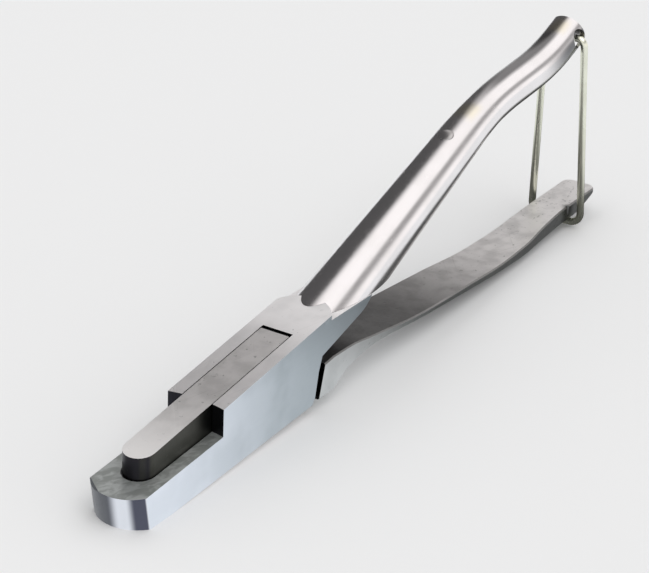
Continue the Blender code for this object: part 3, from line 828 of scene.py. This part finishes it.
@dataclass
class UpperHandle:
    """Tube handle with the leaf spring and its rivet, lengths in millimetres.

    A station is the distance from the nose, the axis height, the half width and the half height.
    """

    stations: tuple[tuple[float, float, float, float], ...] = (
        (92.0, 17.3, 10.78, 11.66),
        (110.0, 24.74, 10.11, 10.94),
        (130.0, 33.0, 9.37, 10.14),
        (150.0, 41.27, 8.63, 9.33),
        (170.0, 49.5, 7.89, 8.53),
        (185.0, 55.7, 7.33, 7.85),
        (195.0, 59.4, 6.85, 7.2),
        (205.0, 62.2, 6.55, 6.7),
        (215.0, 63.8, 6.5, 6.55),
        (225.0, 64.8, 6.5, 6.55),
        (235.0, 65.9, 6.5, 6.6),
        (245.0, 67.9, 6.5, 6.75),
        (254.0, 71.0, 6.5, 6.9),
        (266.0, 76.2, 6.5, 7.05),
    )
    end_x: float = 259.3
    end_tilt: float = 25.0
    wall: float = 1.5
    web: float = 0.8
    hollow_x: float = 116.0
    channel_x: float = 118.0
    channel_half: float = 4.6
    ledge: float = 28.3
    ledge_low: float = -9.0
    top_height: float = 16.72
    top_slope: float = 0.14
    table_corner: float = 94.4
    table_end: float = 100.2
    seat_gap: float = 0.06
    eye: Triple = (255.7, 72.3, 3.4)
    scallop: Triple = (262.0, 61.5, 8.5)
    rivet_x: float = 176.5
    rivet_bore: float = 2.62
    rivet_head: float = 2.5
    rivet_shank: float = 1.5
    rivet_dome: float = 0.5
    rivet_foot: float = -6.0
    rivet_bevel: float = 0.3
    rivet_thick: float = 1.0
    rivet_rim: float = 0.5
    rivet_rim_steps: int = 3
    rivet_dome_steps: int = 8
    rivet_sink: float = 0.15
    rivet_middle: Pair = (0.4, 0.05)
    rivet_bore_depth: float = 3.0
    rivet_sides: int = 48
    table_half: float = 10.0
    table_steps: int = 48
    bore_share: float = 0.86
    wall_share: float = 0.98
    hole_margin: float = 0.1
    spring_edge: float = 0.1
    sides: int = 96
    spacing: float = 2.0
    past: float = 8.0

    def build(self) -> None:
        """Build the tube and dress the spring and the rivet."""
        Shop.fit(self._tube(), "upper_handle", "body", TUBE_STEEL, BORE_PAINTED_SHADE)
        Shop.fit(self._rivet(), "spring_rivet", "body", RIVET_STEEL)
        spring = Shop.eased("leaf_spring", "opening_spring", self.spring_edge)
        Shop.fit(spring, "leaf_spring", "spring", SPRING_STEEL)

    def _at(self, column: int, x: float) -> float:
        """Read one column of the stations by a smooth curve.

        Args:
            column: 1 for the axis height, 2 for the half width, 3 for the half height.
            x: distance from the nose.

        Returns:
            The value there.
        """
        along = [row[0] for row in self.stations]
        values = [row[column] for row in self.stations]
        pieces = range(len(along) - 1)
        slopes = [(values[i + 1] - values[i]) / (along[i + 1] - along[i]) for i in pieces]
        tangents = [slopes[0]]
        for left, right in zip(slopes, slopes[1:]):
            tangents.append(2 * left * right / (left + right) if left * right > 0 else 0.0)
        tangents.append(slopes[-1])
        piece = max(i for i in pieces if i == 0 or x > along[i])
        span = along[piece + 1] - along[piece]
        t = (x - along[piece]) / span
        return ((2 * t ** 3 - 3 * t ** 2 + 1) * values[piece]
                + (t ** 3 - 2 * t ** 2 + t) * span * tangents[piece]
                + (3 * t ** 2 - 2 * t ** 3) * values[piece + 1]
                + (t ** 3 - t ** 2) * span * tangents[piece + 1])

    def _ring(self, x: float, inset: float = 0.0) -> list[Triple]:
        """Section of the tube.

        Args:
            x: distance from the nose.
            inset: how far inside the outer surface it lies.

        Returns:
            Its points.
        """
        wide = self._at(2, x) - inset
        high = self._at(3, x) - inset
        middle = self._at(1, x)
        turns = [2.0 * pi * side / self.sides for side in range(self.sides)]
        return [(x, wide * cos(turn), middle + high * sin(turn)) for turn in turns]

    def _places(self, start: float) -> list[float]:
        """Distances of the sections from the nose.

        Args:
            start: the first of them; the last is the end of the stations.

        Returns:
            The distances, evenly spaced.
        """
        end = self.stations[-1][0]
        count = round((end - start) / self.spacing)
        return [start + (end - start) * step / count for step in range(count + 1)]

    def _tube(self) -> bpy.types.Object:
        """Loft the tube and make its cuts.

        Returns:
            The tube.
        """
        tube = Shop.solid("handle_tube", [self._ring(x) for x in self._places(self.stations[0][0])])
        tube.data.shade_smooth()
        Shop.cut(tube, [self._end_cut(0.0), self._ledge_cut(), self._table_cut(), self._hollow_cut(),
                        self._channel_cut(), self._eye_cut(), self._scallop_cut(), self._rivet_cut()])
        Shop.smooth(tube)
        for face in tube.data.polygons:
            x, y, z = face.center / MM
            face.material_index = int(self._inner(x, y, z - Shop.datum))
        return tube

    def _inner(self, x: float, y: float, z: float) -> bool:
        """Tell whether a point of the tube lies in the hollow or on a hole's wall.

        Args:
            x: distance from the nose.
            y: side position.
            z: height.

        Returns:
            True for the inner surfaces, which carry the painted shade.
        """
        depth = hypot(y / self._at(2, x), (z - self._at(1, x)) / self._at(3, x))
        holes = [hypot(x - across, z - above) < radius + self.hole_margin
                 for across, above, radius in (self.eye, self.scallop)]
        return x > self.hollow_x and (depth < self.bore_share or depth < self.wall_share and any(holes))

    def _end_cut(self, inset: float) -> bpy.types.Object:
        """Cutter square to the tube's axis at its end.

        Args:
            inset: how far before the end it begins.

        Returns:
            The cutter.
        """
        tilt = radians(self.end_tilt)
        start = self.end_x - inset * cos(tilt)
        foot = self._at(1, self.end_x) - inset * sin(tilt)
        corners = [(start + self.past * (along * cos(tilt) - over * sin(tilt)),
                    foot + self.past * (along * sin(tilt) + over * cos(tilt)))
                   for along, over in ((0, -4), (4, -4), (4, 4), (0, 4))]
        return Shop.across("end_cut", corners, 3 * self.past)

    def _ledge_cut(self) -> bpy.types.Object:
        """Cutter for the seat on the head's ledge.

        Returns:
            The cutter.
        """
        start = self.stations[0][0] - self.past
        end = self.stations[-1][0]
        seat = self.ledge + self.seat_gap
        low = self.ledge_low
        return Shop.across("ledge_cut", [(start, low), (end, low), (end, seat), (start, seat)], 3 * self.past)

    def _table_cut(self) -> bpy.types.Object:
        """Cutter for the round end of the head's flat top.

        Returns:
            The cutter.
        """
        half = self.table_half
        rise = self.table_end - self.table_corner
        radius = (half ** 2 + rise ** 2) / (2 * rise)
        centre = self.table_end - radius
        turns = [radians(-90 + 180 * step / self.table_steps) for step in range(self.table_steps + 1)]
        reach = radius + self.seat_gap
        outline = [(centre + reach * cos(turn), reach * sin(turn)) for turn in turns]
        start = self.stations[0][0] - self.past
        outline += [(start, 2 * half), (start, -2 * half)]
        low = [(x, y, 0.0) for x, y in outline]
        high = [(x, y, self.top_height + self.top_slope * x + self.seat_gap) for x, y in outline]
        return Shop.solid("table_cut", [low, high])

    def _hollow_cut(self) -> bpy.types.Object:
        """Cutter for the hollow.

        Returns:
            The cutter.
        """
        rings = [self._ring(x, self.wall) for x in self._places(self.hollow_x)]
        beyond = [(x + self.past, y, z + self.past / 2) for x, y, z in rings[-1]]
        hollow = Shop.solid("hollow_cut", rings + [beyond])
        Shop.cut(hollow, [self._end_cut(self.web)])
        return hollow

    def _channel_cut(self) -> bpy.types.Object:
        """Cutter that opens the tube along its underside.

        Returns:
            The cutter.
        """
        rings = []
        for x in self._places(self.channel_x) + [self.stations[-1][0] + self.past]:
            middle = self._at(1, min(x, self.stations[-1][0]))
            side = self.channel_half
            rings.append([(x, -side, middle - 3 * self.past), (x, side, middle - 3 * self.past),
                          (x, side, middle), (x, -side, middle)])
        channel = Shop.solid("channel_cut", rings)
        Shop.cut(channel, [self._end_cut(self.web)])
        return channel

    def _eye_cut(self) -> bpy.types.Object:
        """Cutter for the eye that the wire turns in."""
        return Shop.across("eye_cut", Shop.disc(*self.eye), 3 * self.past)

    def _scallop_cut(self) -> bpy.types.Object:
        """Cutter that hollows the wall's lower edge up to the eye."""
        return Shop.across("scallop_cut", Shop.disc(*self.scallop), 3 * self.past)

    def _turned(self, name: str, profile: list[Pair]) -> bpy.types.Object:
        """Solid turned about the rivet's line.

        Args:
            name: the object's name.
            profile: radii and heights above the tube's top line.

        Returns:
            The new object.
        """
        step = 1.0
        tops = [self._at(1, x) + self._at(3, x)
                for x in (self.rivet_x - step, self.rivet_x, self.rivet_x + step)]
        up = Vector((tops[0] - tops[2], 0.0, 2 * step)).normalized()
        along = Vector((up.z, 0.0, -up.x))
        rings = []
        for radius, height in profile:
            centre = Vector((self.rivet_x, 0.0, tops[1])) + up * height
            rings.append([tuple(centre + along * x + Vector((0.0, y, 0.0)))
                          for x, y in Shop.disc(0.0, 0.0, radius, self.rivet_sides)])
        return Shop.solid(name, rings)

    def _rivet_cut(self) -> bpy.types.Object:
        """Cutter for the rivet's bore."""
        low = -self.wall - self.rivet_bore_depth
        return self._turned("rivet_cut", [(self.rivet_bore, low), (self.rivet_bore, self.past)])

    def _rivet(self) -> bpy.types.Object:
        """Rivet with a low domed head above and an upset head under the spring.

        Returns:
            The rivet.
        """
        head = self.rivet_head
        foot = self.rivet_foot
        top_of_foot = foot + self.rivet_thick
        profile = [(self.rivet_middle[0], foot), (head - self.rivet_bevel, foot),
                   (head, foot + self.rivet_bevel), (head, top_of_foot),
                   (self.rivet_shank, top_of_foot), (self.rivet_shank, -self.rivet_thick),
                   (head, -self.rivet_thick)]
        for step in range(self.rivet_dome_steps + 1):
            turn = radians(90.0 * step / self.rivet_dome_steps)
            radius = head * cos(turn)
            if step < self.rivet_rim_steps:
                radius = head - self.rivet_rim + self.rivet_rim * cos(turn)
            height = self.rivet_dome * sin(turn) - self.rivet_sink
            profile.append((max(radius, self.rivet_middle[1]), height))
        rivet = self._turned("tube_rivet", profile)
        Shop.smooth(rivet)
        return rivet


@dataclass
class Bail:
    """Wire bail on the handle's end, lengths in millimetres."""

    hinge: Pair = (257.2, 71.8)
    bar: Pair = (261.3, 1.1)
    top_half: float = 7.7
    bar_half: float = 9.79
    top_bend: float = 2.8
    bar_bend: float = 4.2
    end_inset: float = 4.0
    wire: float = 1.3
    end_round: float = 0.35
    sides: int = 32
    bend_steps: int = 20
    leg_steps: int = 12

    def build(self) -> None:
        """Build the wire."""
        wire = Shop.solid("bail_wire", self._rings())
        Shop.smooth(wire, 2)
        Shop.fit(wire, "lock_bail", "bail", WIRE_ZINC)

    def _half(self) -> list[Pair]:
        """Line of the wire down one leg.

        Returns:
            Distances from the middle plane and depths below the hinge.
        """
        hinge = Vector(self.hinge)
        length = (Vector(self.bar) - hinge).length
        spread = atan2(self.bar_half - self.top_half, length)
        points = [(self.end_inset, 0.0)]
        for step in range(self.bend_steps + 1):
            turn = radians(-90) + (spread + radians(90)) * step / self.bend_steps
            points.append((self.top_half - self.top_bend + self.top_bend * cos(turn),
                           self.top_bend + self.top_bend * sin(turn)))
        bend = []
        for step in range(self.bend_steps + 1):
            turn = -spread + (spread + radians(90)) * step / self.bend_steps
            bend.append((self.bar_half - self.bar_bend + self.bar_bend * cos(turn),
                         length - self.bar_bend + self.bar_bend * sin(turn)))
        start = points[-1]
        for step in range(1, self.leg_steps):
            share = step / self.leg_steps
            points.append((start[0] + (bend[0][0] - start[0]) * share,
                           start[1] + (bend[0][1] - start[1]) * share))
        return points + bend

    def _rings(self) -> list[list[Triple]]:
        """Sections of the wire, with rounded ends.

        Returns:
            The rings from one turned-in end to the other.
        """
        hinge = Vector((self.hinge[0], 0.0, self.hinge[1]))
        bar = Vector((self.bar[0], 0.0, self.bar[1]))
        down = (bar - hinge).normalized()
        near = [hinge + down * depth + Vector((0.0, -side, 0.0)) for side, depth in self._half()]
        path = near + [Vector((point.x, -point.y, point.z)) for point in reversed(near)]
        normal = Vector((0.0, 1.0, 0.0)).cross(down)
        rings = []
        for index, point in enumerate(path):
            before = path[max(index - 1, 0)]
            after = path[min(index + 1, len(path) - 1)]
            way = (after - before).normalized()
            flat = way.cross(normal)
            end = index in (0, len(path) - 1)
            shapes = [(self.wire, 0.0)]
            if end:
                outward = 1.0 if index else -1.0
                shapes = [(self.wire - self.end_round, 0.0), (self.wire, -outward * self.end_round)]
                shapes = shapes if index == 0 else shapes[::-1]
            for radius, slide in shapes:
                ring = [point + way * slide + normal * a + flat * b
                        for a, b in Shop.disc(0.0, 0.0, radius, self.sides)]
                rings.append([tuple(corner) for corner in ring])
        return rings


@dataclass
class PhotoCamera:
    """Camera at the photograph's angle and distance, lengths in millimetres, angles in degrees."""

    azimuth: float = -58.115
    elevation: float = 25.449
    roll: float = 2.323
    distance: float = 738.353
    right: float = 58.448
    up: float = 65.652
    focal_pixels: float = 2600.0
    sensor: float = 36.0
    clip: Range = (0.01, 50.0)

    def build(self) -> None:
        """Create the camera and make it the scene's."""
        around = radians(self.azimuth)
        above = radians(self.elevation)
        look = Vector((-sin(around) * cos(above), cos(around) * cos(above), -sin(above)))
        level = Vector((cos(around), sin(around), 0.0))
        upright = level.cross(look)
        turn = radians(self.roll)
        side = level * cos(turn) + upright * sin(turn)
        top = -level * sin(turn) + upright * cos(turn)
        place = side * self.right + top * self.up - look * self.distance
        place = (place + Vector((0.0, 0.0, Shop.datum))) * MM
        data = bpy.data.cameras.new("photo_camera")
        data.sensor_fit = "HORIZONTAL"
        data.sensor_width = self.sensor
        data.lens = self.focal_pixels * self.sensor / IMAGE_WIDTH
        data.clip_start, data.clip_end = self.clip
        camera = Shop.add("photo_camera", data)
        axes = Matrix((side, top, -look)).transposed()
        camera.matrix_world = Matrix.Translation(place) @ axes.to_4x4()
        bpy.context.scene.camera = camera
        log.info("camera placed %.0f mm away", self.distance)


@dataclass
class Studio:
    """Pale floor, studio surroundings and one soft lamp.

    Lengths are in metres and angles in degrees. A Range says where a smooth step begins and
    ends. The zone is the part of the floor that looks dark in the polished surfaces, and the
    screens are the parts of the sky that do.
    """

    floor_size: float = 6.0
    floor_colour: Colour = (0.838, 0.838, 0.84)
    floor_roughness: float = 0.9
    floor_shine: float = 0.1
    mirrored: Colour = (0.92, 0.93, 0.95)
    mirrored_dark: Colour = (0.10, 0.10, 0.10)
    zone_start: Range = (0.105, 0.175)
    zone_near: Range = (-0.075, -0.045)
    zone_far: Range = (0.05, 0.09)
    zone_bend: Pair = (0.25, 0.5)
    level: float = 0.86
    screen_dark: Colour = (0.02, 0.02, 0.022)
    screen_light: Colour = (1.12, 1.09, 1.09)
    rear: Range = (-0.04, 0.30)
    rear_share: float = 0.54
    rear_slope: float = 0.85
    rear_side: Range = (-0.10, 0.10)
    rear_more: float = 0.40
    front: Range = (0.15, 0.35)
    front_share: float = 0.66
    line_slope: float = 0.72
    line_width: Range = (0.10, 0.48)
    line_least: float = 0.05
    lamp_strength: float = 0.55
    lamp_angle: float = 40.0
    lamp_turn: Pair = (28.0, -14.0)

    def build(self) -> None:
        """Build the floor, the world and the lamp."""
        self._floor()
        self._world()
        self._lamp()
        log.info("studio built")

    def _floor(self) -> None:
        """Plain floor at the tool's lowest point."""
        half = self.floor_size / 2
        low = CAD_BOX[0][2]
        mesh = bpy.data.meshes.new("floor")
        corners = [(-half, -half, low), (half, -half, low), (half, half, low), (-half, half, low)]
        mesh.from_pydata(corners, [], [(0, 1, 2, 3)])
        floor = Shop.add("floor", mesh)
        made = bpy.data.materials.new("floor_paper")
        made.use_nodes = True
        graph = Graph(made.node_tree)
        paper = graph.node("ShaderNodeBsdfPrincipled", None, {
            "Base Color": (*self.floor_colour, 1.0), "Roughness": self.floor_roughness,
            "Specular IOR Level": self.floor_shine})
        # Painted reflection: glossy rays see the floor as a glowing sheet with a dark zone under the tool.
        x, y = graph.parts(graph.place())[:2]
        bend_x, bend_share = self.zone_bend
        near = (y - (x - bend_x).most(0.0) * bend_share).step(*self.zone_near)
        zone = x.step(*self.zone_start) * near * (1.0 - y.step(*self.zone_far))
        seen = graph.blend(zone, self.mirrored, self.mirrored_dark)
        mirrored = graph.node("ShaderNodeEmission", None, {"Color": seen, "Strength": 1.0})
        glossy = graph.node("ShaderNodeLightPath", output="Is Glossy Ray")
        mixed = graph.node("ShaderNodeMixShader", None, {0: glossy, 1: paper, 2: mirrored})
        graph.node("ShaderNodeOutputMaterial", None, {"Surface": mixed})
        mesh.materials.append(made)

    def _world(self) -> None:
        """Even light for matt surfaces, and light and dark screens for the polished ones."""
        world = bpy.data.worlds.new("studio")
        bpy.context.scene.world = world
        world.use_nodes = True
        graph = Graph(world.node_tree)
        x, y, z = graph.parts(graph.node("ShaderNodeTexCoord", output="Generated"))
        side = (y - x * self.rear_slope).step(*self.rear_side)
        behind = y.step(*self.rear) * (self.rear_share + side * self.rear_more)
        near = (-y).step(*self.front)
        line = 1.0 - (z / (-y).most(self.line_least) - self.line_slope).size().step(*self.line_width)
        level = (1.0 - behind) * (1.0 - near * line * self.front_share)
        screens = graph.blend(level, self.screen_dark, self.screen_light)
        glossy = graph.node("ShaderNodeLightPath", output="Is Glossy Ray")
        shown = graph.blend(glossy, (self.level,) * 3, screens)
        light = graph.node("ShaderNodeBackground", None, {"Color": shown, "Strength": 1.0})
        graph.node("ShaderNodeOutputWorld", None, {"Surface": light})

    def _lamp(self) -> None:
        """Large soft sun from above the near side."""
        data = bpy.data.lights.new("soft_lamp", "SUN")
        data.energy = self.lamp_strength
        data.angle = radians(self.lamp_angle)
        lamp = Shop.add("soft_lamp", data)
        lamp.rotation_euler = (radians(self.lamp_turn[0]), radians(self.lamp_turn[1]), 0.0)


def main() -> None:
    """Build every class in order."""
    logging.basicConfig(level=logging.INFO, format="%(message)s")
    bpy.context.scene.view_settings.view_transform = "Standard"
    PhotoCamera().build()
    Head().build()
    Lever().build()
    UpperHandle().build()
    Bail().build()
    Studio().build()


if __name__ == "__main__":
    main()
